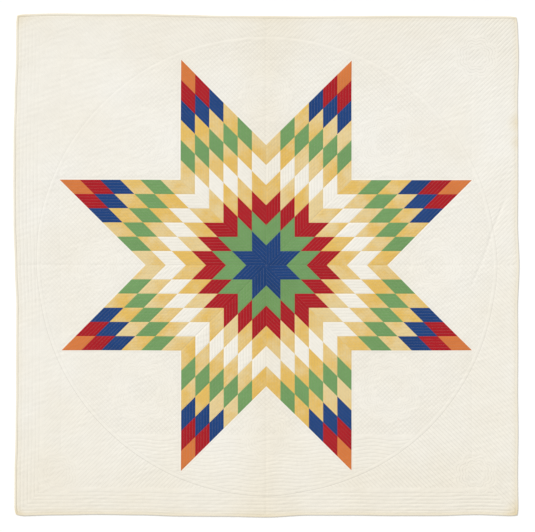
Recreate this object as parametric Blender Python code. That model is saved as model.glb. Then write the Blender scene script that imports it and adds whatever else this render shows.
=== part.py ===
"""A square patchwork bed quilt, lying flat.

The quilted layers are one solid and the binding is four strips folded over its edge.
Lengths are in metres and +Z is up. The origin is at the middle of the outline, on the
surface that the quilt lies on, and +Y is its top edge.
"""

import math
from collections import namedtuple

import bmesh
import bpy
from mathutils import Vector

MM = 0.001

# The outline
WIDTH = 2.032
LENGTH = 2.024

# The patchwork medallion: an eight-pointed star of small diamonds
STAR_POINTS = 8
DIAMONDS_A_SIDE = 6
DIAMOND_SIDE = 81 * MM
POINT_SIDE = DIAMONDS_A_SIDE * DIAMOND_SIDE
CELLS_A_DIAMOND = 2
POINT_CELLS = DIAMONDS_A_SIDE * CELLS_A_DIAMOND

# The double line of quilting that circles the star
CIRCLE_RADIUS = 0.920
CIRCLE_GAP = 15 * MM

# Heights of the upper face above the surface
DIAMOND_Z = 4.0 * MM
SEAM_Z = 2.3 * MM
GROUND_Z = 3.6 * MM
BETWEEN_CIRCLES_Z = 3.4 * MM
STITCHED_Z = 1.9 * MM

# The quilting takes up the cloth unevenly, which leaves the ground in low swells
SWELL = 0.45 * MM
SWELL_ACROSS = 0.37
SWELL_ALONG = 0.29

# The binding: a strip of cloth folded over the edge
BINDING_WIDTH = 8.5 * MM
BINDING_HEIGHT = 4.0 * MM
BINDING_THICKNESS = 1.0 * MM
FOLD_STEPS = 4
CLEARANCE = 0.3 * MM

# The ground is laid in rings, each with as many stations as the star's outline has cells
STATIONS = 2 * STAR_POINTS * POINT_CELLS
SIDE_STATIONS = STATIONS // 4
GROUND_RINGS = 4
MARGIN_RINGS = 4

# How far each side lies inside the square of WIDTH and LENGTH, in millimetres, at even
# steps from its lower or left end
EdgeStation = namedtuple("EdgeStation", "left right bottom top")
EDGE_WANDER = (
    EdgeStation(left=4, right=4, bottom=5, top=4),
    EdgeStation(left=5, right=6, bottom=9, top=0),
    EdgeStation(left=9, right=4, bottom=11, top=2),
    EdgeStation(left=11, right=6, bottom=9, top=2),
    EdgeStation(left=11, right=5, bottom=4, top=6),
    EdgeStation(left=12, right=6, bottom=3, top=10),
    EdgeStation(left=6, right=0, bottom=0, top=11),
    EdgeStation(left=1, right=6, bottom=8, top=12),
    EdgeStation(left=0, right=5, bottom=8, top=11),
    EdgeStation(left=1, right=5, bottom=6, top=10),
    EdgeStation(left=5, right=6, bottom=6, top=10),
    EdgeStation(left=11, right=2, bottom=10, top=11),
    EdgeStation(left=12, right=7, bottom=5, top=12),
)
EDGE_REACH = 4  # the higher, the nearer to its side a wander stays

# The corners are drawn in, so that they look a little round
Corner = namedtuple("Corner", "x y drawn_in")
CORNERS = (
    Corner(x=-1, y=-1, drawn_in=9 * MM),
    Corner(x=1, y=-1, drawn_in=5 * MM),
    Corner(x=-1, y=1, drawn_in=6 * MM),
    Corner(x=1, y=1, drawn_in=6 * MM),
)
CORNER_REACH = 45 * MM

# The rim of the quilted layers, pressed thin where the binding holds it: how far each line
# of the rim lies inside the outline, and its height, from the upper face round to the lower.
RimLine = namedtuple("RimLine", "inset z")
HELD_TOP = BINDING_HEIGHT - BINDING_THICKNESS - CLEARANCE
HELD_BOTTOM = BINDING_THICKNESS + CLEARANCE
HELD_INSET = 2.4 * MM
RELEASED_INSET = 9.2 * MM
FLAT_INSET = 12.0 * MM
RIM = (
    RimLine(inset=FLAT_INSET, z=3.4 * MM),
    RimLine(inset=RELEASED_INSET, z=HELD_TOP),
    RimLine(inset=HELD_INSET, z=HELD_TOP),
    RimLine(inset=HELD_INSET, z=HELD_BOTTOM),
    RimLine(inset=RELEASED_INSET, z=HELD_BOTTOM),
    RimLine(inset=FLAT_INSET, z=0.0),
)

# The sides in the order in which the stations pass them, from the middle of the right side:
# the directions out of the quilt and along the side
Side = namedtuple("Side", "name out along")
SIDES = (
    Side("right", (1, 0), (0, 1)),
    Side("top", (0, 1), (-1, 0)),
    Side("left", (-1, 0), (0, -1)),
    Side("bottom", (0, -1), (1, 0)),
)

CREAM = (0.88, 0.84, 0.74, 1.0)
BINDING_CREAM = (0.90, 0.85, 0.72, 1.0)
COTTON_ROUGHNESS = 0.9
MERGE_DISTANCE = 0.01 * MM


def smooth_step(t):
    return t * t * (3 - 2 * t)


def wander(side, along):
    """How far inwards a side lies, at a share of the way along it."""
    steps = len(EDGE_WANDER) - 1
    here = min(max(along, 0.0), 1.0) * steps
    first = min(int(here), steps - 1)
    low, high = getattr(EDGE_WANDER[first], side), getattr(EDGE_WANDER[first + 1], side)
    return MM * (low + (high - low) * smooth_step(here - first))


def laid_out(x, y):
    """Where a point of the true square lies in the quilt, whose sides wander."""
    across, up = x / WIDTH + 0.5, y / LENGTH + 0.5
    dx = (1 - across) ** EDGE_REACH * wander("left", up) - across**EDGE_REACH * wander("right", up)
    dy = (1 - up) ** EDGE_REACH * wander("bottom", across) - up**EDGE_REACH * wander("top", across)
    for corner in CORNERS:
        away = math.hypot(x - corner.x * WIDTH / 2, y - corner.y * LENGTH / 2)
        drawn = corner.drawn_in * max(0.0, 1 - away / CORNER_REACH) ** 2 / math.sqrt(2)
        dx -= corner.x * drawn
        dy -= corner.y * drawn
    return x + dx, y + dy


def swell(x, y):
    """The low unevenness of the ground at a point."""
    waves = math.sin(math.tau * x / SWELL_ACROSS) * math.cos(math.tau * y / SWELL_ALONG)
    return SWELL * waves


def point_corner(k):
    """The inner corner between two of the star's points."""
    angle = math.tau * k / STAR_POINTS
    return Vector((POINT_SIDE * math.cos(angle), POINT_SIDE * math.sin(angle)))


def in_star_point(k, a, b):
    """The place of a cell corner in point k of the star, a and b cells along its two sides."""
    return (point_corner(k) * a + point_corner(k + 1) * b) / POINT_CELLS


def star_outline():
    """The cell corners round the outside of the star, anticlockwise from the middle of the right side."""
    outline = []
    for k in range(STAR_POINTS):
        outline += [in_star_point(k, POINT_CELLS, b) for b in range(POINT_CELLS)]
        outline += [in_star_point(k, a, POINT_CELLS) for a in range(POINT_CELLS, 0, -1)]
    return outline


def circle(radius):
    angles = [math.tau * i / STATIONS for i in range(STATIONS)]
    return [Vector((radius * math.cos(a), radius * math.sin(a))) for a in angles]


def on_side(side, share, inset):
    """A point of a side, share running from -1 to 1 along it, set in from the outline."""
    out, along = Vector(side.out), Vector(side.along)
    reach = Vector((WIDTH / 2 - inset, LENGTH / 2 - inset))
    return Vector(((out + along * share).x * reach.x, (out + along * share).y * reach.y))


def rim(inset):
    """The stations round the outline, set in from it, anticlockwise from the middle of the right side."""
    points = []
    for side in SIDES:
        shares = [2 * i / SIDE_STATIONS - 1 for i in range(SIDE_STATIONS)]
        points += [on_side(side, share, inset) for share in shares]
    start = SIDE_STATIONS // 2
    return points[start:] + points[:start]


def between(inner, outer, share):
    return [a.lerp(b, share) for a, b in zip(inner, outer, strict=True)]


def skin_rings():
    """The rings of points from the star's outline out over the rim and under it to the flat."""
    star = [(p, SEAM_Z) for p in star_outline()]
    stitching = (
        (-1.0, GROUND_Z),
        (-0.5, STITCHED_Z),
        (0.0, BETWEEN_CIRCLES_Z),
        (0.5, STITCHED_Z),
        (1.0, GROUND_Z),
    )
    circles = [[(p, z) for p in circle(CIRCLE_RADIUS + n * CIRCLE_GAP)] for n, z in stitching]
    rims = [[(p, line.z) for p in rim(line.inset)] for line in RIM]

    def ground(inner, outer, count):
        inside, outside = [p for p, z in inner], [p for p, z in outer]
        shares = [n / count for n in range(1, count)]
        places = [between(inside, outside, share) for share in shares]
        return [[(p, GROUND_Z + swell(p.x, p.y)) for p in ring] for ring in places]

    inside_circle = ground(star, circles[0], GROUND_RINGS)
    outside_circle = ground(circles[-1], rims[0], MARGIN_RINGS)
    return [star, *inside_circle, *circles, *outside_circle, *rims]


def grid_of(bm, columns, rows, place):
    """Adds a grid of faces, with each of its points put where place(column, row) says."""
    made = bmesh.ops.create_grid(bm, x_segments=columns, y_segments=rows, size=0.5)["verts"]
    for n, vert in enumerate(made):
        vert.co = place(n % (columns + 1), n // (columns + 1))


def add_star_point(bm, k):
    """One of the star's eight points: low at the seams and high in the middle of each diamond."""

    def place(a, b):
        crown = a % CELLS_A_DIAMOND and b % CELLS_A_DIAMOND
        return in_star_point(k, a, b).to_3d() + Vector((0, 0, DIAMOND_Z if crown else SEAM_Z))

    grid_of(bm, POINT_CELLS, POINT_CELLS, place)


def add_skin(bm):
    """The ground round the star, the rim and the start of the underside."""
    rings = skin_rings()

    def place(i, row):
        point, z = rings[row][i % STATIONS]
        return Vector((point.x, point.y, z))

    grid_of(bm, STATIONS, len(rings) - 1, place)


def close_body(bm):
    """Joins the grids where they meet and fills what is left open with flat faces."""
    bmesh.ops.remove_doubles(bm, verts=bm.verts, dist=MERGE_DISTANCE)
    open_edges = [edge for edge in bm.edges if edge.is_boundary]
    bmesh.ops.edgeloop_fill(bm, edges=open_edges)
    bmesh.ops.recalc_face_normals(bm, faces=bm.faces)


def cotton(name, colour):
    material = bpy.data.materials.new(name)
    material.use_nodes = True
    shader = material.node_tree.nodes["Principled BSDF"]
    shader.inputs["Base Color"].default_value = colour
    shader.inputs["Roughness"].default_value = COTTON_ROUGHNESS
    shader.inputs["Metallic"].default_value = 0.0
    return material


def finish_piece(bm, name, material, collection):
    """Lays the points out on the wandering outline and makes the object."""
    for vert in bm.verts:
        vert.co.x, vert.co.y = laid_out(vert.co.x, vert.co.y)
    mesh = bpy.data.meshes.new(name)
    bm.to_mesh(mesh)
    bm.free()
    mesh.materials.append(material)
    piece = bpy.data.objects.new(name, mesh)
    collection.objects.link(piece)
    return piece


def make_quilted_layers(collection):
    bm = bmesh.new()
    for k in range(STAR_POINTS):
        add_star_point(bm, k)
    add_skin(bm)
    close_body(bm)
    return finish_piece(bm, "quilt_body", cotton("quilted_cotton", CREAM), collection)


def fold(radius):
    """The round of the binding's fold, from below up: how far in and how high each point is."""
    middle = BINDING_HEIGHT / 2
    angles = [math.pi * (n / FOLD_STEPS - 0.5) for n in range(FOLD_STEPS + 1)]
    return [(middle - radius * math.cos(a), middle + radius * math.sin(a)) for a in angles]


def binding_section():
    """The folded strip cut across: its outer face from below up, and its inner face back down."""
    outer = fold(BINDING_HEIGHT / 2)
    inner = fold(BINDING_HEIGHT / 2 - BINDING_THICKNESS)
    top_edge = [(BINDING_WIDTH, BINDING_HEIGHT), (BINDING_WIDTH, BINDING_HEIGHT - BINDING_THICKNESS)]
    bottom_edge = [(BINDING_WIDTH, BINDING_THICKNESS), (BINDING_WIDTH, 0.0)]
    return [*outer, *top_edge, *reversed(inner), *bottom_edge]


def make_binding_strip(side, material, collection):
    """A strip folded over one side, with its ends cut on the mitre of the corners."""
    section = binding_section()
    mitre_trim = CLEARANCE / 2 * math.sqrt(2)
    bm = bmesh.new()

    def place(i, row):
        inset, z = section[row % len(section)]
        share = 2 * i / SIDE_STATIONS - 1
        point = on_side(side, share, inset)
        if i in (0, SIDE_STATIONS):
            point -= Vector(side.along) * share * mitre_trim
        return point.to_3d() + Vector((0, 0, z))

    grid_of(bm, SIDE_STATIONS, len(section), place)
    close_body(bm)
    return finish_piece(bm, f"binding_{side.name}", material, collection)


def clear_scene():
    for obj in list(bpy.data.objects):
        bpy.data.objects.remove(obj)


def main():
    clear_scene()
    quilt = bpy.data.collections.new("quilt")
    bpy.context.scene.collection.children.link(quilt)
    make_quilted_layers(quilt)
    binding = cotton("binding_cotton", BINDING_CREAM)
    for side in SIDES:
        make_binding_strip(side, binding, quilt)


if __name__ == "__main__":
    main()
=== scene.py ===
"""The look of a square patchwork bed quilt that lies flat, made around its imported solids.

The pieced top, the backing and the binding are modelled as the pieces that a maker cuts and
sews, finished in cotton and set in a plain studio. Lengths are in metres, +Z is up and +Y
is the quilt's top edge. Most shapes are worked out on the true square, as the quilt was
drawn, and laid out on its wandering edges at the end.
"""

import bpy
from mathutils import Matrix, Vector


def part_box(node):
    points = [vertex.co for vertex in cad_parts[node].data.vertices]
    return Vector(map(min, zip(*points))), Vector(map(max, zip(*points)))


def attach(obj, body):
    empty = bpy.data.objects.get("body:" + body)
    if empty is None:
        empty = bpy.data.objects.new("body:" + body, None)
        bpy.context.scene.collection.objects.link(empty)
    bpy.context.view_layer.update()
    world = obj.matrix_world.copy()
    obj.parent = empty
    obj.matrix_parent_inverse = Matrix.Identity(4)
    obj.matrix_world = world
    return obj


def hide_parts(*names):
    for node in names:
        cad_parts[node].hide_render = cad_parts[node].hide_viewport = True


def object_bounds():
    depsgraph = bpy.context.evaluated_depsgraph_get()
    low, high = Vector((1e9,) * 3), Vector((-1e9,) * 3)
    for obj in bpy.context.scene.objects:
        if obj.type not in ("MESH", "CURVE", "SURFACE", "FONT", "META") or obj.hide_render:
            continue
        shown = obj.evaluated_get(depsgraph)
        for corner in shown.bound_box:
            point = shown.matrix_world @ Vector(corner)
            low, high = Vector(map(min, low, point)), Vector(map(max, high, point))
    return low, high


bl_info = {
    "name": "Patchwork Quilt",
    "version": (1, 0, 0),
    "blender": (4, 5, 0),
    "location": "3D View > Sidebar > Quilt",
    "description": "Models a patchwork bed quilt around its packed solids",
    "category": "Object",
}

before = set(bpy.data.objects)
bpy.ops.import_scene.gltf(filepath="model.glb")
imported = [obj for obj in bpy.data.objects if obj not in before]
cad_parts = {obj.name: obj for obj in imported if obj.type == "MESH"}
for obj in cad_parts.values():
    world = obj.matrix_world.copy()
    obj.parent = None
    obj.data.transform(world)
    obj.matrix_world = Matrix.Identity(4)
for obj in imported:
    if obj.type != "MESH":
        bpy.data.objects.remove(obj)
CAD_LOW, CAD_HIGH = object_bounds()

import math
from collections import namedtuple

import bmesh
import bpy
import numpy as np
from bpy.props import FloatProperty, FloatVectorProperty
from mathutils import Vector

MM = 0.001
SQRT2 = math.sqrt(2)
BODY = "root"
SHARP_ANGLE = math.radians(60)
SEED = 20  # for the random draws
FAR_SIDE = 1.0  # how far off a drawn sheet its far side is kept, until it is put in its place

# The outline and the binding, from the solids
WIDTH = CAD_HIGH.x - CAD_LOW.x
LENGTH = CAD_HIGH.y - CAD_LOW.y
BINDING_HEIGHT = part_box("binding_left")[1].z
BINDING_WIDTH = 8.5 * MM
BINDING_THICKNESS = 1.0 * MM
CLEARANCE = 0.3 * MM
HELD_TOP = BINDING_HEIGHT - BINDING_THICKNESS - CLEARANCE
HELD_BOTTOM = BINDING_THICKNESS + CLEARANCE
HELD_INSET = 2.4 * MM

# The star: eight points of small diamonds
STAR_POINTS = 8
DIAMONDS_A_SIDE = 6
CELLS_A_DIAMOND = 20
ROWS_A_DIAMOND = 5

# The ground's grid. Rows of quilting run corner to corner over its cells, and channels of
# quilting run along the left and lower sides, from so many cells outside the star's square.
GROUND_CELLS = 135
CELLS_A_ROW = 5
CHANNEL_CELLS = 21
CELLS_A_CHANNEL = 4
UNSEWN_CELLS = 1.5  # how far rows end from where two ways of quilting meet
OUTLINE_CELLS = 2  # the line sewn round the star, from the seams that lie along X or Y
SLANTED_OUTLINE_CELLS = 3  # and from the slanted seams, counted along X
BACKING_CELL = 9 * MM
BINDING_CELL = 7 * MM
FOLD_STEPS = 8

# Heights above the surface
DIAMOND_Z = 4.0 * MM
GROUND_Z = 3.7 * MM
SEAM_Z = 2.9 * MM
STITCHED_Z = 1.9 * MM
TOP_UNDERSIDE_Z = 1.6 * MM
BACKING_TOP_Z = 1.55 * MM

# How deep each kind of sewing holds the cloth down, and how far from it the cloth has risen
ROW_DEPTH = 0.52 * MM
ROW_REACH = 2.2 * MM
DIAMOND_ROW_DEPTH = 0.5 * MM
RING_DEPTH = 0.9 * MM
RING_REACH = 2.2 * MM
INNER_LINE_SHARE = 0.5  # how much of the ring's depth and shade its inner line has
SEAM_REACH = 2.4 * MM
OUTLINE_DEPTH = 0.8 * MM
JOIN_DEPTH = 0.2 * MM
JOIN_REACH = 1.5 * MM
BACK_DIMPLE = 0.7 * MM
BACK_REACH = 12 * MM

# The unevenness of the cloth: low swells, small ripples, slack rows along the lower edge and
# the soft creases where it was folded in four
SWELL = 0.45 * MM
SWELL_ACROSS = 0.37
SWELL_ALONG = 0.29
RIPPLE = 0.17 * MM
RIPPLE_LENGTHS = (0.018, 0.07)
PLUMPNESS = 0.55  # how much more or less the cloth rises between its rows in patches
PLUMPNESS_LENGTHS = (0.06, 0.6)
PLUMPNESS_RANGE = (0.3, 2.0)
WAVES = 14  # how many are added up
SLACK = 0.24 * MM
SLACK_REACH = 0.11
SLACK_PITCH = 0.029
SLACK_BEND = 7 * MM
SLACK_BEND_LENGTH = 0.31
CREASE = 0.55 * MM
CREASE_REACH = 5 * MM

# Places where the quilting shows less, because the cloth is worn flat there, or more, because
# it has puckered: where each is, how far it reaches and by what share it changes the quilting
Wear = namedtuple("Wear", "x y reach change")
WEAR = (
    Wear(x=-0.78, y=0.72, reach=0.42, change=-0.7),
    Wear(x=-0.92, y=-0.35, reach=0.36, change=-0.55),
    Wear(x=0.77, y=0.53, reach=0.14, change=-0.5),
    Wear(x=0.92, y=0.95, reach=0.26, change=0.6),
    Wear(x=0.70, y=-0.90, reach=0.30, change=0.45),
)

# Soft wrinkles of loose cloth: where each starts and ends, how high it stands or how deep it
# lies, and how far it reaches to its sides
Wrinkle = namedtuple("Wrinkle", "start end height reach")
WRINKLE_FADE = 0.25  # the share of its length over which a wrinkle fades at each end
WRINKLES = (
    Wrinkle(start=(0.972, 0.285), end=(0.887, 0.075), height=-1.2 * MM, reach=5 * MM),
    Wrinkle(start=(0.915, 0.135), end=(0.815, -0.110), height=-1.1 * MM, reach=6 * MM),
    Wrinkle(start=(0.812, -0.856), end=(0.862, -0.924), height=-1.2 * MM, reach=4 * MM),
    Wrinkle(start=(-0.912, -0.916), end=(-0.850, -0.888), height=0.6 * MM, reach=5 * MM),
)

# The stitches. Real ones show 0.3 mm of thread, with holes of 1 mm, too fine for the render: the thread
# is drawn up to 1 mm wide, and the shade round the holes is painted into the cloth's colour up to 3 mm
# wide.
STITCHES_A_ROW = 4
ROW_WIDTH = 12.7 * MM
RING_STITCH = 3.6 * MM
THREAD_HALF_WIDTHS = (0.25 * MM, 0.5 * MM)
SHADE_HALF_WIDTHS = (0.4 * MM, 1.5 * MM)
THREAD_SHARE = 0.25
HOLE_SHADE = 0.24
RING_SHADE = 1.6
RING_SHOWN = (1.3, 0.3)  # how much of its shade the ring shows at the lower side and the upper
THREAD_UP = (0.2, 0.26)  # where the thread comes up, in stitches from the nearest hole
HOLE_END = (0.16, 0.26)  # where the shade of the hole ends
SHADE_ALONG = 0.25  # how much of it lies along the thread

# The cloth. A slub is so many threads wide and so many times longer than it is wide.
SLUB_THREADS = 2.5
SLUB_SLENDERNESS = 24
CRUMPLES_A_METRE = 130.0
CRUMPLE_HEIGHT = 0.8 * MM
NOISE_ROUGHNESS = 0.55
WAVE_PERIOD = math.tau / 20  # of Blender's wave texture, at a scale of 1

# How shades and tones follow a height or a place: from one value of it to another, and the
# share at each
WEAVE_SHADE = (0.0, 0.6, 0.1, 0.0)
SLUB_TONES = (0.7, 1.3, -0.35, 0.35)
CLOUD_TONES = (0.38, 0.62, -0.5, 0.5)
PATCHES_AGED = (0.35, 0.75, 0.0, 0.16)
SIDE_RIMS_AGED = (0.97 * WIDTH / 2, WIDTH / 2, 0.0, 0.18)
END_RIMS_AGED = (0.97 * LENGTH / 2, LENGTH / 2, 0.0, 0.18)
ENDS_AGED = (0.7 * LENGTH / 2, LENGTH / 2, 0.0, 0.1)
LOWER_PART_AGED = (-LENGTH / 2, LENGTH / 4, 0.08, 0.0)
MIDDLE_AGED = (0.0, 0.16, 0.15, 0.0)

# How far each side lies inside the square of WIDTH and LENGTH, in millimetres, at even
# steps from its lower or left end
EdgeStation = namedtuple("EdgeStation", "left right bottom top")
EDGE_WANDER = (
    EdgeStation(left=4, right=4, bottom=5, top=4),
    EdgeStation(left=5, right=6, bottom=9, top=0),
    EdgeStation(left=9, right=4, bottom=11, top=2),
    EdgeStation(left=11, right=6, bottom=9, top=2),
    EdgeStation(left=11, right=5, bottom=4, top=6),
    EdgeStation(left=12, right=6, bottom=3, top=10),
    EdgeStation(left=6, right=0, bottom=0, top=11),
    EdgeStation(left=1, right=6, bottom=8, top=12),
    EdgeStation(left=0, right=5, bottom=8, top=11),
    EdgeStation(left=1, right=5, bottom=6, top=10),
    EdgeStation(left=5, right=6, bottom=6, top=10),
    EdgeStation(left=11, right=2, bottom=10, top=11),
    EdgeStation(left=12, right=7, bottom=5, top=12),
)
EDGE_REACH = 4  # the higher, the nearer to its side a wander stays

# The corners are drawn in, so that they look a little round
Corner = namedtuple("Corner", "x y drawn_in")
CORNERS = (
    Corner(x=-1, y=-1, drawn_in=9 * MM),
    Corner(x=1, y=-1, drawn_in=5 * MM),
    Corner(x=-1, y=1, drawn_in=6 * MM),
    Corner(x=1, y=1, drawn_in=6 * MM),
)
CORNER_REACH = 45 * MM

# The sides: the directions out of the quilt and along the side
Side = namedtuple("Side", "name out along")
SIDES = (
    Side("right", (1, 0), (0, 1)),
    Side("top", (0, 1), (-1, 0)),
    Side("left", (-1, 0), (0, -1)),
    Side("bottom", (0, -1), (1, 0)),
)

# Places that have yellowed: where each is, in shares of the way from the middle to the rim,
# how far it reaches and how deep it is
Stain = namedtuple("Stain", "x y reach depth")
STAINS = (
    Stain(x=-1, y=-1, reach=0.05, depth=0.4),
    Stain(x=1, y=-1, reach=0.07, depth=0.5),
    Stain(x=-1, y=1, reach=0.07, depth=0.3),
    Stain(x=1, y=1, reach=0.03, depth=0.3),
    Stain(x=1, y=0.57, reach=0.05, depth=0.4),
    Stain(x=1, y=0.49, reach=0.04, depth=0.3),
)

# Quilted wreaths of nested scallops: how far out from the quilt's middle, at which turn and
# how large each is, and how many scallops go round it. Turns are in eighths.
Wreath = namedtuple("Wreath", "out turns radius lobes")
WREATHS = (
    *(Wreath(out=0.705, turns=turn, radius=0.128, lobes=12) for turn in (1, 3, 5, 7)),
    *(Wreath(out=0.682, turns=turn, radius=0.096, lobes=10) for turn in (0, 2, 4, 6)),
    *(Wreath(out=1.195, turns=turn, radius=0.082, lobes=8) for turn in (1, 3, 5, 7)),
)
LOBE_SHARE = 0.16
WREATH_BAND_SHARE = 0.44

# The lowest rows inside the ring lie along the lower side, in slack waves
LOW_ROWS = 0.69
LOW_ROWS_BEND = 0.3
LOW_ROWS_BEND_LENGTH = 0.19

# The fabric of each ring of diamonds, from the middle of the star to its tips
RING_FABRICS = (
    "indigo_blue",
    "leaf_green",
    "turkey_red",
    "butter_gold",
    "muslin",
    "butter_gold",
    "leaf_green",
    "butter_gold",
    "indigo_blue",
    "turkey_red",
    "rust_orange",
)
CROSSED_RINGS = np.array([fabric in ("leaf_green", "butter_gold") for fabric in RING_FABRICS], float)

# The studio
FLOOR_SIZE = 60.0
KEY_FROM = (-1.0, 1.2, 1.15)
CAMERA_PLACE = (5.2 * MM, -3.2 * MM)


def linear(hex_colour):
    """A colour that is written as sRGB hex, in linear light."""
    shares = [int(hex_colour[n : n + 2], 16) / 255 for n in (0, 2, 4)]
    return tuple(s / 12.92 if s <= 0.04045 else ((s + 0.055) / 1.055) ** 2.4 for s in shares)


def measure(name, description, default, least, most, unit="LENGTH"):
    return FloatProperty(
        name=name,
        description=description,
        default=default,
        min=least,
        max=most,
        precision=4,
        unit=unit,
    )


class QuiltSizes(bpy.types.PropertyGroup):
    """The sizes of the patchwork and its quilting."""

    diamond_side: measure("Diamond side", "Side of each small diamond", 0.081, 0.02, 0.09)
    ring_radius: measure("Ring radius", "Radius of the quilted ring", 0.920, 0.3, 0.98)
    ring_gap: measure("Ring gap", "Space between the ring's two lines", 0.015, 0.005, 0.05)
    thread_spacing: measure("Thread spacing", "Distance between threads", 0.0008, 0.0002, 0.005)


def cloth_colour(name, description, hex_colour):
    return FloatVectorProperty(
        name=name,
        description=description,
        default=linear(hex_colour),
        min=0.0,
        max=1.0,
        size=3,
        subtype="COLOR",
    )


class QuiltColours(bpy.types.PropertyGroup):
    """The colours of the cloths."""

    muslin: cloth_colour("Muslin", "Ground of the quilt", "F5F2E9")
    stain: cloth_colour("Stain", "Tint of the cloth where it has yellowed", "EEDFBC")
    binding: cloth_colour("Binding", "Cloth of the binding", "F4F0E4")
    gold: cloth_colour("Gold", "Deeper tone of the gold cloth", "E5BD62")
    gold_faded: cloth_colour("Faded gold", "Gold cloth where it has faded", "E7D09A")
    green: cloth_colour("Green", "Green cloth", "6F9A60")
    red: cloth_colour("Red", "Red cloth", "A61A24")
    blue: cloth_colour("Blue", "Blue cloth", "1C3F77")
    orange: cloth_colour("Orange", "Orange cloth at the star's tips", "D1783F")
    thread: cloth_colour("Thread", "Quilting thread", "EFE9D8")


class StudioSettings(bpy.types.PropertyGroup):
    """The camera and the lights."""

    camera_height: measure("Camera height", "Height above the surface", 5.972, 1.0, 20.0)
    key_strength: measure("Key strength", "Light from the upper left", 2.2, 0.0, 20.0, "NONE")
    fill_strength: measure("Fill strength", "Light from all round", 0.645, 0.0, 5.0, "NONE")


class Layout:
    """The places that follow from the driving sizes, on the true square."""

    def __init__(self, sizes):
        self.diamond = sizes.diamond_side
        self.point = DIAMONDS_A_SIDE * self.diamond
        self.inner = self.point / SQRT2
        self.half = self.inner + self.point
        self.cell = self.point / GROUND_CELLS
        self.row = CELLS_A_ROW * self.cell
        self.channels = self.half + CHANNEL_CELLS * self.cell
        self.channel_row = CELLS_A_CHANNEL * self.cell
        self.ring = sizes.ring_radius
        self.ring_gap = sizes.ring_gap
        self.edge_x = WIDTH / 2 - HELD_INSET
        self.edge_y = LENGTH / 2 - HELD_INSET


def smooth_step(t):
    t = np.clip(t, 0.0, 1.0)
    return t * t * (3 - 2 * t)


def wander(side, along):
    """How far inwards a side lies, at shares of the way along it."""
    values = np.array([getattr(station, side) for station in EDGE_WANDER], float)
    here = np.clip(along, 0.0, 1.0) * (len(values) - 1)
    first = np.minimum(here.astype(int), len(values) - 2)
    return MM * (values[first] + (values[first + 1] - values[first]) * smooth_step(here - first))


def laid_out(x, y):
    """Where points of the true square lie in the quilt, whose sides wander."""
    across, up = x / WIDTH + 0.5, y / LENGTH + 0.5
    dx = (1 - across) ** EDGE_REACH * wander("left", up) - across**EDGE_REACH * wander("right", up)
    dy = (1 - up) ** EDGE_REACH * wander("bottom", across) - up**EDGE_REACH * wander("top", across)
    for corner in CORNERS:
        away = np.hypot(x - corner.x * WIDTH / 2, y - corner.y * LENGTH / 2)
        drawn = corner.drawn_in * np.clip(1 - away / CORNER_REACH, 0, 1) ** 2 / SQRT2
        dx = dx - corner.x * drawn
        dy = dy - corner.y * drawn
    return x + dx, y + dy


def risen(distance, reach):
    """How far the cloth has risen, from 0 to 1, at a distance from the line that holds it down."""
    return 1 - np.exp(-np.abs(distance) / reach)


def off_nearest(value, spacing):
    """How far values are from the nearest multiple of a spacing."""
    return np.abs((value + spacing / 2) % spacing - spacing / 2)


def swell(x, y):
    return SWELL * np.sin(math.tau * x / SWELL_ACROSS) * np.cos(math.tau * y / SWELL_ALONG)


def waves(x, y, lengths, seed):
    """Waves of many lengths that run every way, mostly from -1 to 1."""
    random = np.random.default_rng(seed)
    total = np.zeros_like(x)
    for _ in range(WAVES):
        angle, phase = random.uniform(0, math.tau, 2)
        along = x * math.cos(angle) + y * math.sin(angle)
        total += np.sin(math.tau * along / random.uniform(*lengths) + phase)
    return total / math.sqrt(WAVES / 2)


def slack(x, y):
    """The bent rows of loose cloth along the lower edge."""
    height = y + LENGTH / 2
    bent = height + SLACK_BEND * np.sin(math.tau * x / SLACK_BEND_LENGTH)
    return SLACK * np.exp(-height / SLACK_REACH) * np.sin(math.tau * bent / SLACK_PITCH)


def creases(x, y):
    """How deep the cloth lies in the soft creases of its folds."""
    return CREASE * np.maximum(
        np.exp(-((x / CREASE_REACH) ** 2)),
        np.exp(-((y / CREASE_REACH) ** 2)),
    )


def wrinkles(x, y):
    """The wrinkles of loose cloth, which fade towards their ends."""
    height = np.zeros_like(x)
    for wrinkle in WRINKLES:
        run = np.subtract(wrinkle.end, wrinkle.start)
        dx, dy = x - wrinkle.start[0], y - wrinkle.start[1]
        along = (dx * run[0] + dy * run[1]) / (run @ run)
        off_line = (dx * run[1] - dy * run[0]) / math.hypot(*run)
        ends = smooth_step(along / WRINKLE_FADE) * smooth_step((1 - along) / WRINKLE_FADE)
        height += wrinkle.height * ends * np.exp(-((off_line / wrinkle.reach) ** 2))
    return height


def unevenness(x, y):
    ripples = RIPPLE * waves(x, y, RIPPLE_LENGTHS, SEED)
    return swell(x, y) + ripples + slack(x, y) + wrinkles(x, y) - creases(x, y)


def plumpness(x, y):
    return np.clip(1 + PLUMPNESS * waves(x, y, PLUMPNESS_LENGTHS, SEED + 1), *PLUMPNESS_RANGE)


def wear(x, y):
    """How much of the quilting shows, which changes where the cloth is worn flat or puckered."""
    shown = np.ones_like(x)
    for place in WEAR:
        away = np.hypot(x - place.x, y - place.y)
        shown *= 1 + place.change * np.exp(-((away / place.reach) ** 2))
    return shown


def held_at_rim(x, y, z):
    """The cloth's height, pressed thin where the binding holds it."""
    inset = np.minimum(WIDTH / 2 - np.abs(x), LENGTH / 2 - np.abs(y))
    free = smooth_step((inset - BINDING_WIDTH) / (BINDING_WIDTH / 2))
    return HELD_TOP + (z - HELD_TOP) * free


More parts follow.
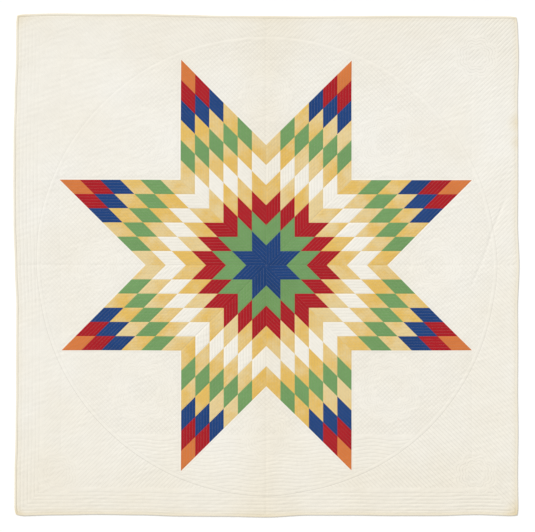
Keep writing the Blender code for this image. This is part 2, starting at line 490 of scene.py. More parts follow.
def scallops(wreath, x, y):
    """How far places lie inwards of a wreath's scalloped outline, and how far round it."""
    angle = math.tau * wreath.turns / 8
    dx, dy = x - wreath.out * math.cos(angle), y - wreath.out * math.sin(angle)
    turn = (np.arctan2(dy, dx) - angle + math.pi) % math.tau - math.pi
    lobe = np.abs(np.sin(wreath.lobes * turn / 2))
    reach = np.hypot(dx, dy) / (1 - LOBE_SHARE + LOBE_SHARE * lobe)
    return wreath.radius - reach, turn * reach


def off_star(layout, x, y):
    """How far places of the ground are from the star's outer seams, and from the line of
    quilting that is sewn round them."""
    long, short = np.maximum(np.abs(x), np.abs(y)), np.minimum(np.abs(x), np.abs(y))
    square = np.hypot(long - np.clip(long, layout.inner, layout.half), short - layout.inner)
    slanted = (long - short - layout.point) / SQRT2
    is_slanted = (short < layout.inner) & (long < layout.half)
    off_seam = np.where(is_slanted, np.abs(slanted), square)
    slanted_outline = slanted - SLANTED_OUTLINE_CELLS * layout.cell / SQRT2
    return off_seam, np.where(is_slanted, slanted_outline, square - OUTLINE_CELLS * layout.cell)


Quilting = namedtuple("Quilting", "depth first second rowed crossed outline")


def ground_quilting(layout, x, y):
    """The ground's quilting: how deep it holds the cloth down, the count of its rows and of
    those that cross them, and where each of the two is sewn, from 0 to 1."""
    radius = np.hypot(x, y)
    across, up = np.abs(x), np.abs(y)
    first, second = (across - up) / layout.row, (across + up - 2 * layout.inner) / layout.row
    row_width = np.full_like(x, layout.row / SQRT2)
    rowed = np.where(np.abs(radius - layout.ring) < layout.ring_gap / 2, 0.0, 1.0)
    crossed = rowed * (radius < layout.ring)

    out, along = np.maximum(across, up), np.minimum(across, up)
    by_side = ((up > across) & (y < 0)) | ((across >= up) & (x < 0))
    channelled = by_side & (out > layout.channels - layout.cell / 2) & (radius > layout.ring)
    lowest = (up > across) & (y < 0) & (radius < layout.ring)
    bend = LOW_ROWS_BEND * np.sin(math.tau * x / LOW_ROWS_BEND_LENGTH) * lowest
    channelled |= lowest & (out > LOW_ROWS)
    first[channelled] = ((out - layout.channels) / layout.channel_row + bend)[channelled]
    second[channelled] = along[channelled] / layout.channel_row
    row_width[channelled] = layout.channel_row
    crossed[channelled] = 0.0
    margin = UNSEWN_CELLS * layout.cell
    unsewn = by_side & (np.abs(out - layout.channels) < margin) & (radius > layout.ring)
    unsewn |= lowest & (np.abs(out - LOW_ROWS) < margin)

    spacing = layout.row / SQRT2
    for wreath in WREATHS:
        inwards, around = scallops(wreath, x, y)
        low, high = -spacing / 2, (round(WREATH_BAND_SHARE * wreath.radius / spacing) + 0.5) * spacing
        band = (inwards > low) & (inwards < high)
        first[band] = inwards[band] / spacing
        second[band] = around[band] / spacing
        row_width[band] = spacing
        rowed[band] = 1.0
        crossed[band] = 0.0
        unsewn |= (np.abs(inwards - low) < margin) | (np.abs(inwards - high) < margin)

    _, outline = off_star(layout, x, y)
    unsewn |= outline < layout.cell / 2
    rowed[unsewn] = 0.0
    crossed[unsewn] = 0.0
    rowed *= wear(x, y)
    crossed *= wear(x, y)
    down = 1 - risen(off_nearest(first, 1) * row_width, ROW_REACH)
    crossed_down = 1 - risen(off_nearest(second, 1) * row_width, ROW_REACH)
    rows = (1 - down * rowed) * (1 - crossed_down * crossed)
    ring = risen(np.abs(np.abs(radius - layout.ring) - layout.ring_gap / 2), RING_REACH)
    joins = risen(out - layout.half, JOIN_REACH)
    depth = ROW_DEPTH * plumpness(x, y) * (1 - rows)
    line = np.where(radius < layout.ring, INNER_LINE_SHARE, 1.0)
    depth += RING_DEPTH * line * (1 - ring) + JOIN_DEPTH * (1 - joins)
    depth += OUTLINE_DEPTH * (1 - risen(outline, ROW_REACH))
    return Quilting(depth, first, second, rowed, crossed, outline)


def ground_height(layout, x, y, depth):
    """The height of the ground's face, which the quilting holds down by a depth."""
    z = np.maximum(GROUND_Z + unevenness(x, y) - depth, STITCHED_Z)
    off_seam, _ = off_star(layout, x, y)
    return held_at_rim(x, y, SEAM_Z + (z - SEAM_Z) * risen(off_seam, SEAM_REACH))


def lines_between(layout, low, high):
    """The lines of the ground's grid from low to high: whole cells from the square's inner
    corners, and the same on the other side of the middle."""
    count = math.ceil(WIDTH / layout.cell)
    out = layout.inner + layout.cell * np.arange(-count, count)
    out = out[out > 0]
    lines = np.concatenate([-out[::-1], [0.0], out])
    sliver = layout.cell / 8
    inside = lines[(lines > low + sliver) & (lines < high - sliver)]
    return np.concatenate([[low], inside, [high]])


def grid_on(bm, columns, rows):
    """Adds a grid of faces whose corners lie where two lists of lines cross."""
    segments = {"x_segments": len(columns) - 1, "y_segments": len(rows) - 1}
    made = bmesh.ops.create_grid(bm, size=1.0, **segments)
    for n, vert in enumerate(made["verts"]):
        row, column = divmod(n, len(columns))
        vert.co = (columns[column], rows[row], 0.0)


def add_far_side(bm, drop):
    """Gives a sheet its cut edges and a flat far side, which its finishing step puts at the
    true height."""
    rim = [edge for edge in bm.edges if edge.is_boundary]
    made = bmesh.ops.extrude_edge_only(bm, edges=rim)["geom"]
    verts = [part for part in made if isinstance(part, bmesh.types.BMVert)]
    bmesh.ops.translate(bm, verts=verts, vec=(0, 0, drop))
    edges = [part for part in made if isinstance(part, bmesh.types.BMEdge) and part.is_boundary]
    bmesh.ops.edgeloop_fill(bm, edges=edges)
    bmesh.ops.recalc_face_normals(bm, faces=bm.faces)


def add_uv_map(mesh, name, u, v):
    """A UV map from a place for each of the mesh's points."""
    corner = np.empty(len(mesh.loops), np.int32)
    mesh.loops.foreach_get("vertex_index", corner)
    places = np.column_stack([u[corner], v[corner]]).astype(np.float32)
    mesh.uv_layers.new(name=name).data.foreach_set("uv", places.ravel())


def add_values(mesh, name, domain, values):
    attribute = mesh.attributes.new(name, "FLOAT", domain)
    attribute.data.foreach_set("value", np.asarray(values, np.float32))


def add_layers(mesh, quilt, grain, quilting, tones):
    """Keeps on a mesh what its material reads: its places in the quilt and along its threads,
    the lines of its quilting and the tone of each patch."""
    add_uv_map(mesh, "quilt", *quilt)
    add_uv_map(mesh, "grain", *grain)
    add_uv_map(mesh, "rows", quilting.first, quilting.second)
    for layer in ("rowed", "crossed", "outline"):
        add_values(mesh, layer, "POINT", getattr(quilting, layer))
    add_values(mesh, "patch_tone", "FACE", np.broadcast_to(tones, len(mesh.polygons)))


def drawn_points(mesh):
    """The places of a mesh's points as drawn, before they are laid out."""
    places = np.empty(3 * len(mesh.vertices), np.float32)
    mesh.vertices.foreach_get("co", places)
    return places.reshape(-1, 3).astype(float).T


def put_points(mesh, x, y, z):
    """Lays a mesh's points out on the wandering outline."""
    x, y = laid_out(x, y)
    mesh.vertices.foreach_set("co", np.column_stack([x, y, z]).astype(np.float32).ravel())
    mesh.update()


def to_mesh(bm, name):
    mesh = bpy.data.meshes.new(name)
    bm.to_mesh(mesh)
    bm.free()
    return mesh


def add_object(name, data):
    made = bpy.data.objects.new(name, data)
    bpy.context.scene.collection.objects.link(made)
    return made


def add_piece(mesh, materials, replaced):
    """Makes a finished mesh a piece of the quilt, in place of one of its solids."""
    mesh.shade_smooth()
    mesh.set_sharp_from_angle(angle=SHARP_ANGLE)
    for material in materials:
        mesh.materials.append(bpy.data.materials[material])
    piece = add_object(mesh.name, mesh)
    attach(piece, BODY)
    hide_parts(replaced)
    return piece


def finish_ground(layout, bm, name):
    """Turns a drawn sheet of the ground into its finished piece."""
    mesh = to_mesh(bm, name)
    x, y, z = drawn_points(mesh)
    quilting = ground_quilting(layout, x, y)
    height = ground_height(layout, x, y, quilting.depth)
    shift = np.random.default_rng(sum(name.encode())).uniform(0, 1, 3)
    add_layers(mesh, (x, y), (x + shift[0], y + shift[1]), quilting, shift[2])
    put_points(mesh, x, y, np.where(z > -FAR_SIDE / 2, height, TOP_UNDERSIDE_Z))
    piece = add_piece(mesh, ["muslin"], "quilt_body")


def diamonds_at(places):
    """The row and column of the diamond of a star point that each place lies in."""
    return np.minimum(places.astype(int), DIAMONDS_A_SIDE - 1)


def make_star_point(layout, k):
    """One point of the star: its diamonds in rings of one fabric, each padded between its
    seams and quilted in rows along one side."""
    lines = np.linspace(0, DIAMONDS_A_SIDE, DIAMONDS_A_SIDE * CELLS_A_DIAMOND + 1)
    bm = bmesh.new()
    grid_on(bm, lines, lines)
    add_far_side(bm, -FAR_SIDE)
    mesh = to_mesh(bm, f"star_point_{k + 1}")
    a, b, z = drawn_points(mesh)

    angles = [math.tau * (k + n) / STAR_POINTS for n in (0, 1)]
    x = layout.diamond * (a * math.cos(angles[0]) + b * math.cos(angles[1]))
    y = layout.diamond * (a * math.sin(angles[0]) + b * math.sin(angles[1]))

    width = layout.diamond * math.sin(math.tau / STAR_POINTS)
    seams = np.minimum(off_nearest(a, 1), off_nearest(b, 1)) * width
    first, second = a * ROWS_A_DIAMOND, b * ROWS_A_DIAMOND
    crossed = CROSSED_RINGS[diamonds_at(np.array([a, b])).sum(0)]
    rows = risen(off_nearest(first, 1) * width / ROWS_A_DIAMOND, ROW_REACH)
    rows *= 1 - crossed * (1 - risen(off_nearest(second, 1) * width / ROWS_A_DIAMOND, ROW_REACH))
    crown = DIAMOND_Z + unevenness(x, y) - DIAMOND_ROW_DEPTH * plumpness(x, y) * (1 - rows)
    height = SEAM_Z + (crown - SEAM_Z) * risen(seams, SEAM_REACH)

    centre = np.empty(3 * len(mesh.polygons), np.float32)
    mesh.polygons.foreach_get("center", centre)
    row, column = diamonds_at(centre.reshape(-1, 3)[:, :2].T)
    tones = np.random.default_rng(SEED + k).uniform(0, 1, (DIAMONDS_A_SIDE, DIAMONDS_A_SIDE))
    fabrics = sorted(set(RING_FABRICS))
    ring_slots = np.array([fabrics.index(fabric) for fabric in RING_FABRICS], np.int32)
    mesh.polygons.foreach_set("material_index", ring_slots[row + column])

    along = layout.diamond * (a + b * math.cos(math.tau / STAR_POINTS))
    all_over = np.ones_like(a)
    quilting = Quilting(None, first, second, all_over, crossed, all_over)
    add_layers(mesh, (x, y), (along + k, b * width), quilting, tones[row, column])
    put_points(mesh, x, y, np.where(z > -FAR_SIDE / 2, height, TOP_UNDERSIDE_Z))
    piece = add_piece(mesh, fabrics, "quilt_body")


def make_corner_square(layout, name, sign_x, sign_y):
    """The square of ground between two points of the star, at a corner of the quilt."""
    spans = [sorted((sign * layout.inner, sign * layout.half)) for sign in (sign_x, sign_y)]
    bm = bmesh.new()
    grid_on(bm, *(lines_between(layout, *span) for span in spans))
    add_far_side(bm, -FAR_SIDE)

    finish_ground(layout, bm, name)


def make_side_triangle(layout, side):
    """The triangle of ground between two points of the star, in the middle of a side."""
    out, along = Vector(side.out), Vector(side.along)
    depth = lines_between(layout, layout.point, layout.half)
    reach = lines_between(layout, -layout.inner, layout.inner)
    bm = bmesh.new()
    grid_on(bm, depth, reach)
    for sign in (-1, 1):
        everything = [*bm.verts, *bm.edges, *bm.faces]
        bmesh.ops.bisect_plane(
            bm,
            geom=everything,
            dist=layout.cell / 100,
            plane_co=(layout.point, 0, 0),
            plane_no=(-1, sign, 0),
            clear_outer=True,
        )
    for vert in bm.verts:
        vert.co = (out * vert.co.x + along * vert.co.y).to_3d()
    bmesh.ops.recalc_face_normals(bm, faces=bm.faces)
    add_far_side(bm, -FAR_SIDE)

    name = f"side_triangle_{side.name}"
    finish_ground(layout, bm, name)


def make_border(layout, side):
    """A strip of ground along a side. The upper and lower strips run the quilt's full width."""
    full = side.name in ("top", "bottom")
    if full:
        across = (-layout.edge_x, layout.edge_x)
        up = sorted((side.out[1] * layout.half, side.out[1] * layout.edge_y))
    else:
        across = sorted((side.out[0] * layout.half, side.out[0] * layout.edge_x))
        up = (-layout.half, layout.half)
    bm = bmesh.new()
    grid_on(bm, lines_between(layout, *across), lines_between(layout, *up))
    add_far_side(bm, -FAR_SIDE)

    finish_ground(layout, bm, f"border_{side.name}")


def make_backing(layout):
    """The plain cloth under the quilt, with its padding, drawn up where the ring and the
    borders' seams are sewn through it."""
    columns = np.linspace(-layout.edge_x, layout.edge_x, round(2 * layout.edge_x / BACKING_CELL))
    rows = np.linspace(-layout.edge_y, layout.edge_y, round(2 * layout.edge_y / BACKING_CELL))
    bm = bmesh.new()
    grid_on(bm, columns, rows)
    add_far_side(bm, FAR_SIDE)
    mesh = to_mesh(bm, "quilt_backing")
    x, y, z = drawn_points(mesh)

    radius = np.hypot(x, y)
    square = np.abs(np.maximum(np.abs(x), np.abs(y)) - layout.half)
    sewn = (1 - risen(radius - layout.ring, BACK_REACH)) + (1 - risen(square, BACK_REACH))
    inset = np.minimum(WIDTH / 2 - np.abs(x), LENGTH / 2 - np.abs(y))
    held = 1 - smooth_step((inset - BINDING_WIDTH) / (BINDING_WIDTH / 2))
    height = np.maximum(BACK_DIMPLE * np.clip(sewn, 0, 1), HELD_BOTTOM * held)

    add_layers(mesh, (x, y), (x, y), ground_quilting(layout, x, y), 0.5)
    put_points(mesh, x, y, np.where(z < FAR_SIDE / 2, height, BACKING_TOP_Z))
    piece = add_piece(mesh, ["backing_muslin"], "quilt_body")


def fold(radius):
    """The round of the binding's fold, from below up: how far in and how high each point is."""
    middle = BINDING_HEIGHT / 2
    angles = [math.pi * (n / FOLD_STEPS - 0.5) for n in range(FOLD_STEPS + 1)]
    return [(middle - radius * math.cos(a), middle + radius * math.sin(a)) for a in angles]


def binding_section():
    """The folded strip cut across: its outer face from below up, and its inner face back down."""
    outer = fold(BINDING_HEIGHT / 2)
    inner = fold(BINDING_HEIGHT / 2 - BINDING_THICKNESS)
    sewn_down = BINDING_HEIGHT - BINDING_THICKNESS / 4
    top = [(BINDING_WIDTH / 2, BINDING_HEIGHT), (BINDING_WIDTH, sewn_down)]
    top.append((BINDING_WIDTH, BINDING_HEIGHT - BINDING_THICKNESS))
    bottom = [(BINDING_WIDTH, BINDING_THICKNESS), (BINDING_WIDTH, 0.0)]
    return np.array([*outer, *top, *reversed(inner), *bottom])


def make_binding_strip(side):
    """A strip of cloth folded over one side, with its ends cut on the mitre."""
    section = binding_section()
    stations = round(max(WIDTH, LENGTH) / BINDING_CELL)
    mitre_trim = CLEARANCE / 2 * SQRT2
    bm = bmesh.new()
    grid_on(bm, np.arange(stations + 1), np.arange(len(section) + 1))
    bmesh.ops.reverse_faces(bm, faces=bm.faces)
    mesh_places = [(int(vert.co.x), int(vert.co.y) % len(section)) for vert in bm.verts]
    out, along = np.array(side.out, float), np.array(side.along, float)
    for vert, (station, n) in zip(bm.verts, mesh_places, strict=True):
        share = 2 * station / stations - 1
        reach = np.array([WIDTH, LENGTH]) / 2 - section[n, 0]
        x, y = (out + along * share) * reach
        if station in (0, stations):
            x, y = (x, y) - along * share * mitre_trim
        vert.co = (x, y, section[n, 1])
    bmesh.ops.remove_doubles(bm, verts=bm.verts, dist=CLEARANCE / 10)
    ends = [edge for edge in bm.edges if edge.is_boundary]
    bmesh.ops.edgeloop_fill(bm, edges=ends)
    bmesh.ops.recalc_face_normals(bm, faces=bm.faces)
    mesh = to_mesh(bm, f"binding_cloth_{side.name}")

    x, y, z = drawn_points(mesh)
    run = x * along[0] + y * along[1]
    inset = np.minimum(WIDTH / 2 - np.abs(x), LENGTH / 2 - np.abs(y))
    nowhere = np.zeros_like(x)
    quilting = Quilting(None, run, run, nowhere, nowhere, nowhere + 1)
    add_layers(mesh, (x, y), (run, inset + z), quilting, 0.5)
    put_points(mesh, x, y, z)
    piece = add_piece(mesh, ["binding_muslin"], f"binding_{side.name}")


def put_inputs(tree, node, inputs):
    """Puts values or other nodes' outputs on a node's inputs, given in order or by name."""
    for place, value in inputs.items() if isinstance(inputs, dict) else enumerate(inputs):
        if isinstance(value, bpy.types.NodeSocket):
            tree.links.new(value, node.inputs[place])
        else:
            node.inputs[place].default_value = value


def add_node(tree, kind, inputs=(), output=0, **settings):
    """Adds a node with its settings and inputs, and gives one of its outputs."""
    node = tree.nodes.new("ShaderNode" + kind)
    for name, value in settings.items():
        setattr(node, name, value)
    put_inputs(tree, node, inputs)
    return node.outputs[output]


def new_material(name):
    material = bpy.data.materials.new(name)
    material.use_nodes = True
    tree = material.node_tree
    return material, tree, tree.nodes["Principled BSDF"]


def weave(tree, grain, spacing):
    """The height of a plain weave, from 0 to 1: each thread goes over the next and under it."""
    threads = []
    for direction in ("Y", "X"):
        inputs = {"Vector": grain, "Scale": WAVE_PERIOD / spacing}
        threads.append(add_node(tree, "TexWave", inputs, "Fac", bands_direction=direction))
    over = add_node(tree, "TexChecker", {"Vector": grain, "Scale": 1 / spacing}, "Fac")
    return add_node(tree, "Mix", {0: over, 2: threads[0], 3: threads[1]})


def stitch_line(tree, off_line, count, sewn, shade=1.0):
    """The thread and the painted shade of the holes of one line of running stitches, by the distance
    from the line, the count of stitches along it and where it is sewn, from 0 to 1."""
    off_hole = add_node(tree, "Math", [count, 0.5], operation="PINGPONG")
    shown = []
    for half_widths, strength, along in (
        (THREAD_HALF_WIDTHS, 1.0, (*THREAD_UP, 0.0, 1.0)),
        (SHADE_HALF_WIDTHS, shade, (*HOLE_END, 1.0, SHADE_ALONG)),
    ):
        line = add_node(tree, "MapRange", [off_line, *half_widths, strength, 0.0])
        stitch = add_node(tree, "MapRange", [off_hole, *along])
        whole = add_node(tree, "Math", [line, stitch], operation="MULTIPLY")
        shown.append(add_node(tree, "Math", [whole, sewn], operation="MULTIPLY"))
    return shown


def stitches(tree, quilt, rows, sizes):
    """Where quilting thread shows, and where the cloth is drawn into shade, which is painted into its
    colour.
    """
    first, second = (add_node(tree, "SeparateXYZ", [rows], axis) for axis in "XY")
    x, y = (add_node(tree, "SeparateXYZ", [quilt], axis) for axis in "XY")
    lines = []
    for across, along, layer in ((first, second, "rowed"), (second, first, "crossed")):
        off_whole = add_node(tree, "Math", [across, 0.5], operation="PINGPONG")
        off_line = add_node(tree, "Math", [off_whole, ROW_WIDTH], operation="MULTIPLY")
        count = add_node(tree, "Math", [along, STITCHES_A_ROW], operation="MULTIPLY")
        sewn = add_node(tree, "Attribute", output="Fac", attribute_name=layer)
        lines.append(stitch_line(tree, off_line, count, sewn))

    half_gap = sizes.ring_gap / 2
    out = add_node(tree, "VectorMath", [quilt], "Value", operation="LENGTH")
    beyond = add_node(tree, "Math", [out, sizes.ring_radius], operation="SUBTRACT")
    off_middle = add_node(tree, "Math", [beyond], operation="ABSOLUTE")
    off_line = add_node(tree, "Math", [off_middle, half_gap], operation="SUBTRACT")
    off_line = add_node(tree, "Math", [off_line], operation="ABSOLUTE")
    angle = add_node(tree, "Math", [y, x], operation="ARCTAN2")
    count = add_node(tree, "Math", [angle, sizes.ring_radius / RING_STITCH], operation="MULTIPLY")
    # The ring's painted shade is deeper towards the quilt's lower side.
    by_height = add_node(tree, "MapRange", [y, -LENGTH / 2, LENGTH / 2, *RING_SHOWN])
    by_line = add_node(tree, "MapRange", [beyond, -half_gap, half_gap, INNER_LINE_SHARE, 1.0])
    shown = add_node(tree, "Math", [by_height, by_line], operation="MULTIPLY")
    lines.append(stitch_line(tree, off_line, count, shown, RING_SHADE))

    outline = add_node(tree, "Attribute", output="Fac", attribute_name="outline")
    off_line = add_node(tree, "Math", [outline], operation="ABSOLUTE")
    count = add_node(tree, "Math", [second, STITCHES_A_ROW], operation="MULTIPLY")
    lines.append(stitch_line(tree, off_line, count, 1.0))

    thread, hole_painted_shade = lines[0]
    for other_thread, other_hole_painted_shade in lines[1:]:
        thread = add_node(tree, "Math", [thread, other_thread], operation="MAXIMUM")
        hole_painted_shade = add_node(tree, "Math", [hole_painted_shade, other_hole_painted_shade], operation="MAXIMUM")
    return thread, hole_painted_shade


def ageing(tree, quilt):
    """How far the cloth has yellowed, from 0 to 1: in patches, along its rims, towards its
    upper and lower sides, in its middle crease and in small places of their own."""
    off_middle = add_node(tree, "VectorMath", [quilt], "Vector", operation="ABSOLUTE")
    across, along = (add_node(tree, "SeparateXYZ", [off_middle], axis) for axis in "XY")
    height = add_node(tree, "SeparateXYZ", [quilt], "Y")
    inputs = {"Vector": quilt, "Scale": 3.0, "Detail": 4.0, "Roughness": NOISE_ROUGHNESS}
    patches = add_node(tree, "TexNoise", inputs)
    side_rims = add_node(tree, "MapRange", [across, *SIDE_RIMS_AGED])
    end_rims = add_node(tree, "MapRange", [along, *END_RIMS_AGED])
    stains = [
        add_node(tree, "MapRange", [patches, *PATCHES_AGED]),
        add_node(tree, "Math", [side_rims, end_rims], operation="MAXIMUM"),
        add_node(tree, "MapRange", [along, *ENDS_AGED]),
        add_node(tree, "MapRange", [height, *LOWER_PART_AGED]),
        add_node(tree, "MapRange", [across, *MIDDLE_AGED]),
    ]
    for stain in STAINS:
        place = (stain.x * WIDTH / 2, stain.y * LENGTH / 2, 0.0)
        away = add_node(tree, "VectorMath", [quilt, place], "Value", operation="DISTANCE")
        stains.append(add_node(tree, "MapRange", [away, 0.0, stain.reach, stain.depth, 0.0]))
    stained = stains[0]
    for more in stains[1:]:
        stained = add_node(tree, "Math", [stained, more], operation="ADD", use_clamp=True)
    return stained


def dyed_threads(tree, grain, colour, faded, spacing, mottle, clouds_a_metre):
    """The cloth's own colour: slubs run along its threads, fading lies in clouds, and each
    patch differs a little from the next."""
    across = 1 / (SLUB_THREADS * spacing)
    along = across / SLUB_SLENDERNESS
    slubs = []
    for scale in ((across, along, 1), (along, across, 1)):
        threads = add_node(tree, "Mapping", {"Vector": grain, "Scale": scale})
        inputs = {"Vector": threads, "Scale": 1.0, "Detail": 2.0, "Roughness": NOISE_ROUGHNESS}
        slubs.append(add_node(tree, "TexNoise", inputs))
    both = add_node(tree, "Math", slubs, operation="ADD")
    inputs = {"Vector": grain, "Scale": clouds_a_metre, "Detail": 4.0, "Roughness": NOISE_ROUGHNESS}
    clouds = add_node(tree, "TexNoise", inputs)
    tone = add_node(tree, "Attribute", output="Fac", attribute_name="patch_tone")
    shares = [
        add_node(tree, "MapRange", [both, *SLUB_TONES]),
        add_node(tree, "MapRange", [clouds, *CLOUD_TONES]),
        add_node(tree, "Math", [tone, 0.5], operation="SUBTRACT"),
    ]
    share = add_node(tree, "Math", shares[:2], operation="ADD")
    share = add_node(tree, "Math", [share, shares[2]], operation="ADD")
    inputs = [share, mottle, 0.5]
    fading = add_node(tree, "Math", inputs, operation="MULTIPLY_ADD", use_clamp=True)
    colours = {0: fading, 6: (*colour, 1.0), 7: (*faded, 1.0)}
    return add_node(tree, "Mix", colours, 2, data_type="RGBA")


def cotton(name, colour, faded, colours, sizes, mottle=0.5, clouds_a_metre=14.0):
    """Plain-weave cotton, washed and used: matt, softly crumpled and sewn with rows of quilting.
    Its weave has two threads a millimetre and is drawn with 1.25, so that it shows. The mottle
    says how much of the way to its faded colour it changes."""
    spacing = sizes.thread_spacing
    _, tree, shader = new_material(name)
    quilt, grain, rows = (add_node(tree, "UVMap", uv_map=layer) for layer in ("quilt", "grain", "rows"))

    dyed = dyed_threads(tree, grain, colour, faded, spacing, mottle, clouds_a_metre)
    stain = {0: ageing(tree, quilt), 6: dyed, 7: (*colours.stain, 1.0)}
    worn = add_node(tree, "Mix", stain, 2, data_type="RGBA", blend_type="MULTIPLY")
    height = weave(tree, grain, spacing)
    thread, hole_painted_shade = stitches(tree, quilt, rows, sizes)
    # Painted shade: the colour is darkened towards black where the weave's threads lie low and along
    # the stitches' holes.
    weave_shade = add_node(tree, "MapRange", [height, *WEAVE_SHADE])
    hole_shade = add_node(tree, "Math", [hole_painted_shade, HOLE_SHADE], operation="MULTIPLY")
    shade = add_node(tree, "Math", [weave_shade, hole_shade], operation="MAXIMUM")
    shaded = add_node(tree, "Mix", {0: shade, 6: worn, 7: (0.0, 0.0, 0.0, 1.0)}, 2, data_type="RGBA")
    thread_share = add_node(tree, "Math", [thread, THREAD_SHARE], operation="MULTIPLY")
    sewn = {0: thread_share, 6: shaded, 7: (*colours.thread, 1.0)}
    seen = add_node(tree, "Mix", sewn, 2, data_type="RGBA")

    inputs = {"Vector": grain, "Scale": CRUMPLES_A_METRE, "Detail": 3.0, "Roughness": NOISE_ROUGHNESS}
    crumple = add_node(tree, "TexNoise", inputs)
    inputs = {"Strength": 0.6, "Distance": CRUMPLE_HEIGHT, "Height": crumple}
    bump = add_node(tree, "Bump", inputs)
    inputs = {"Strength": 0.3, "Distance": spacing / 4, "Height": height, "Normal": bump}
    inputs = {"Base Color": seen, "Normal": add_node(tree, "Bump", inputs), "Roughness": 0.92}
    inputs |= {"Specular IOR Level": 0.15, "Sheen Weight": 0.04, "Sheen Roughness": 0.5}
    put_inputs(tree, shader, inputs)


def tone_of(colour, share):
    return tuple(channel * share for channel in colour)


def muslins(colours, sizes):
    """Bleached muslin, thin and plain, for the ground, the backing and the binding. It gives
    the eye a warm white that is nearly even, a little deeper where hands and folds were."""
    for name, colour in (
        ("muslin", colours.muslin),
        ("backing_muslin", colours.muslin),
        ("binding_muslin", colours.binding),
    ):
        cotton(name, colour, tone_of(colour, 0.96), colours, sizes)


def butter_gold(colours, sizes):
    """Cotton in a light-shy gold dye. It gives the eye clouds and streaks of pale straw."""
    look = {"mottle": 0.9, "clouds_a_metre": 9.0}
    cotton("butter_gold", colours.gold, colours.gold_faded, colours, sizes, **look)


def leaf_green(colours, sizes):
    """Cotton dyed blue over yellow. It gives the eye a soft green with paler clouds."""
    cotton("leaf_green", colours.green, tone_of(colours.green, 1.12), colours, sizes)


def turkey_red(colours, sizes):
    """Cotton in madder red, a fast dye. It gives the eye a deep and even red."""
    cotton("turkey_red", colours.red, tone_of(colours.red, 1.12), colours, sizes)


def indigo_blue(colours, sizes):
    """Cotton dyed in indigo. It gives the eye a deep blue that rubs paler."""
    cotton("indigo_blue", colours.blue, tone_of(colours.blue, 1.2), colours, sizes)


def rust_orange(colours, sizes):
    """Cotton in a rusty orange dye. It gives the eye a warm, slightly brown orange."""
    cotton("rust_orange", colours.orange, tone_of(colours.orange, 1.1), colours, sizes)


def studio_floor():
    """Smooth white card, with a tooth of about a millimetre. It gives the eye an even, nearly
    white surround."""
    material, tree, shader = new_material("white_card")
    place = add_node(tree, "TexCoord", output="Object")
    tooth = add_node(tree, "TexNoise", {"Vector": place, "Scale": 900.0, "Detail": 2.0})
    bump = add_node(tree, "Bump", {"Strength": 0.05, "Distance": 0.2 * MM, "Height": tooth})
    inputs = {"Base Color": (*linear("FBFBFB"), 1.0), "Normal": bump, "Roughness": 0.9}
    put_inputs(tree, shader, inputs | {"Specular IOR Level": 0.1})
    return material


class QUILT_OT_fabrics(bpy.types.Operator):
    """Make the cottons that the quilt is sewn from"""

    bl_idname = "quilt.fabrics"
    bl_label = "Fabrics"

    def execute(self, context):
        colours, sizes = context.scene.quilt_colours, context.scene.quilt_sizes
        for make in (muslins, butter_gold, leaf_green, turkey_red, indigo_blue, rust_orange):
            make(colours, sizes)
        return {"FINISHED"}


class QUILT_OT_star(bpy.types.Operator):
    """Make the eight points of the star from their small diamonds"""

    bl_idname = "quilt.star"
    bl_label = "Star"

    def execute(self, context):
        layout = Layout(context.scene.quilt_sizes)
        for k in range(STAR_POINTS):
            make_star_point(layout, k)
        return {"FINISHED"}


class QUILT_OT_ground(bpy.types.Operator):
    """Make the squares and triangles of ground that set the star in its square"""

    bl_idname = "quilt.ground"
    bl_label = "Ground"

    def execute(self, context):
        layout = Layout(context.scene.quilt_sizes)
        for up, sign_y in (("top", 1), ("bottom", -1)):
            for across, sign_x in (("left", -1), ("right", 1)):
                make_corner_square(layout, f"corner_square_{up}_{across}", sign_x, sign_y)
        for side in SIDES:
            make_side_triangle(layout, side)
        return {"FINISHED"}


class QUILT_OT_borders(bpy.types.Operator):
    """Make the four strips of ground round the square"""

    bl_idname = "quilt.borders"
    bl_label = "Borders"

    def execute(self, context):
        layout = Layout(context.scene.quilt_sizes)
        for side in SIDES:
            make_border(layout, side)
        return {"FINISHED"}


class QUILT_OT_backing(bpy.types.Operator):
    """Make the plain cloth under the quilt"""

    bl_idname = "quilt.backing"
    bl_label = "Backing"

    def execute(self, context):
        make_backing(Layout(context.scene.quilt_sizes))
        return {"FINISHED"}


class QUILT_OT_binding(bpy.types.Operator):
    """Fold the four strips of binding over the quilt's edge"""

    bl_idname = "quilt.binding"
    bl_label = "Binding"

    def execute(self, context):
        for side in SIDES:
            make_binding_strip(side)
        return {"FINISHED"}


def add_floor():
    bm = bmesh.new()
    bmesh.ops.create_grid(bm, x_segments=1, y_segments=1, size=FLOOR_SIZE)
    bmesh.ops.translate(bm, verts=bm.verts, vec=(0, 0, -CLEARANCE))
    mesh = to_mesh(bm, "floor")
    mesh.materials.append(studio_floor())
    floor = add_object("floor", mesh)


def add_camera(height):
    """A camera straight above, with the quilt a little up and left of the frame's middle."""
    camera = add_object("camera", bpy.data.cameras.new("camera"))
    camera.data.lens = 100
    camera.data.sensor_width = 36
    camera.data.clip_end = 100
    camera.location = (*CAMERA_PLACE, height)
    bpy.context.scene.camera = camera


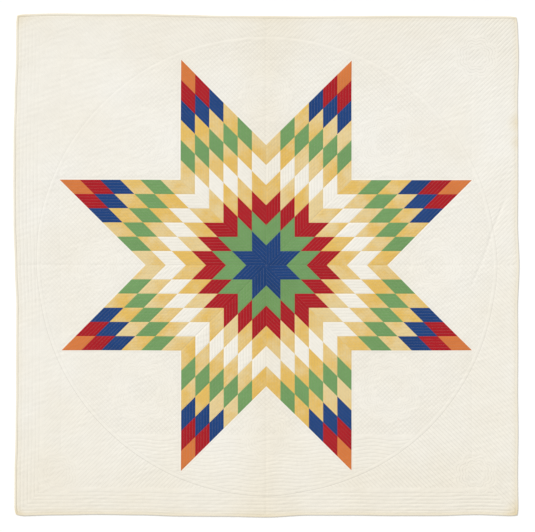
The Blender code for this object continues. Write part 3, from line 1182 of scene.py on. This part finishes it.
def add_lights(key_strength, fill_strength):
    """A low soft light from the upper left, which shows the quilting, and an even fill."""
    key = add_object("key", bpy.data.lights.new("key", "SUN"))
    key.data.energy = key_strength
    key.data.angle = math.radians(12)
    key.rotation_euler = Vector(KEY_FROM).to_track_quat("Z", "Y").to_euler()
    world = bpy.data.worlds.new("studio")
    world.use_nodes = True
    inputs = {"Color": (1.0, 1.0, 1.0, 1.0), "Strength": fill_strength}
    put_inputs(world.node_tree, world.node_tree.nodes["Background"], inputs)
    bpy.context.scene.world = world


class QUILT_OT_studio(bpy.types.Operator):
    """Set up the pale floor, the soft lights and the camera straight above"""

    bl_idname = "quilt.studio"
    bl_label = "Studio"

    def execute(self, context):
        studio = context.scene.quilt_studio
        add_floor()
        add_camera(studio.camera_height)
        add_lights(studio.key_strength, studio.fill_strength)
        context.scene.view_settings.view_transform = "Standard"
        return {"FINISHED"}


GROUPS = {
    "quilt_sizes": QuiltSizes,
    "quilt_colours": QuiltColours,
    "quilt_studio": StudioSettings,
}
STEPS = (
    QUILT_OT_fabrics,
    QUILT_OT_star,
    QUILT_OT_ground,
    QUILT_OT_borders,
    QUILT_OT_backing,
    QUILT_OT_binding,
    QUILT_OT_studio,
)


class QUILT_PT_panel(bpy.types.Panel):
    """The quilt's sizes, colours and steps"""

    bl_idname = "QUILT_PT_panel"
    bl_label = "Quilt"
    bl_space_type = "VIEW_3D"
    bl_region_type = "UI"
    bl_category = "Quilt"

    def draw(self, context):
        for group in GROUPS:
            box = self.layout.box()
            for name in GROUPS[group].__annotations__:
                box.prop(getattr(context.scene, group), name)
        for step in STEPS:
            self.layout.operator(step.bl_idname)


CLASSES = (*GROUPS.values(), *STEPS, QUILT_PT_panel)


def register():
    for each in CLASSES:
        bpy.utils.register_class(each)
    for name, group in GROUPS.items():
        setattr(bpy.types.Scene, name, bpy.props.PointerProperty(type=group))


def unregister():
    for name in GROUPS:
        delattr(bpy.types.Scene, name)
    for each in reversed(CLASSES):
        bpy.utils.unregister_class(each)


def main():
    register()
    bpy.ops.quilt.fabrics()
    bpy.ops.quilt.star()
    bpy.ops.quilt.ground()
    bpy.ops.quilt.borders()
    bpy.ops.quilt.backing()
    bpy.ops.quilt.binding()
    bpy.ops.quilt.studio()


if __name__ == "__main__":
    main()
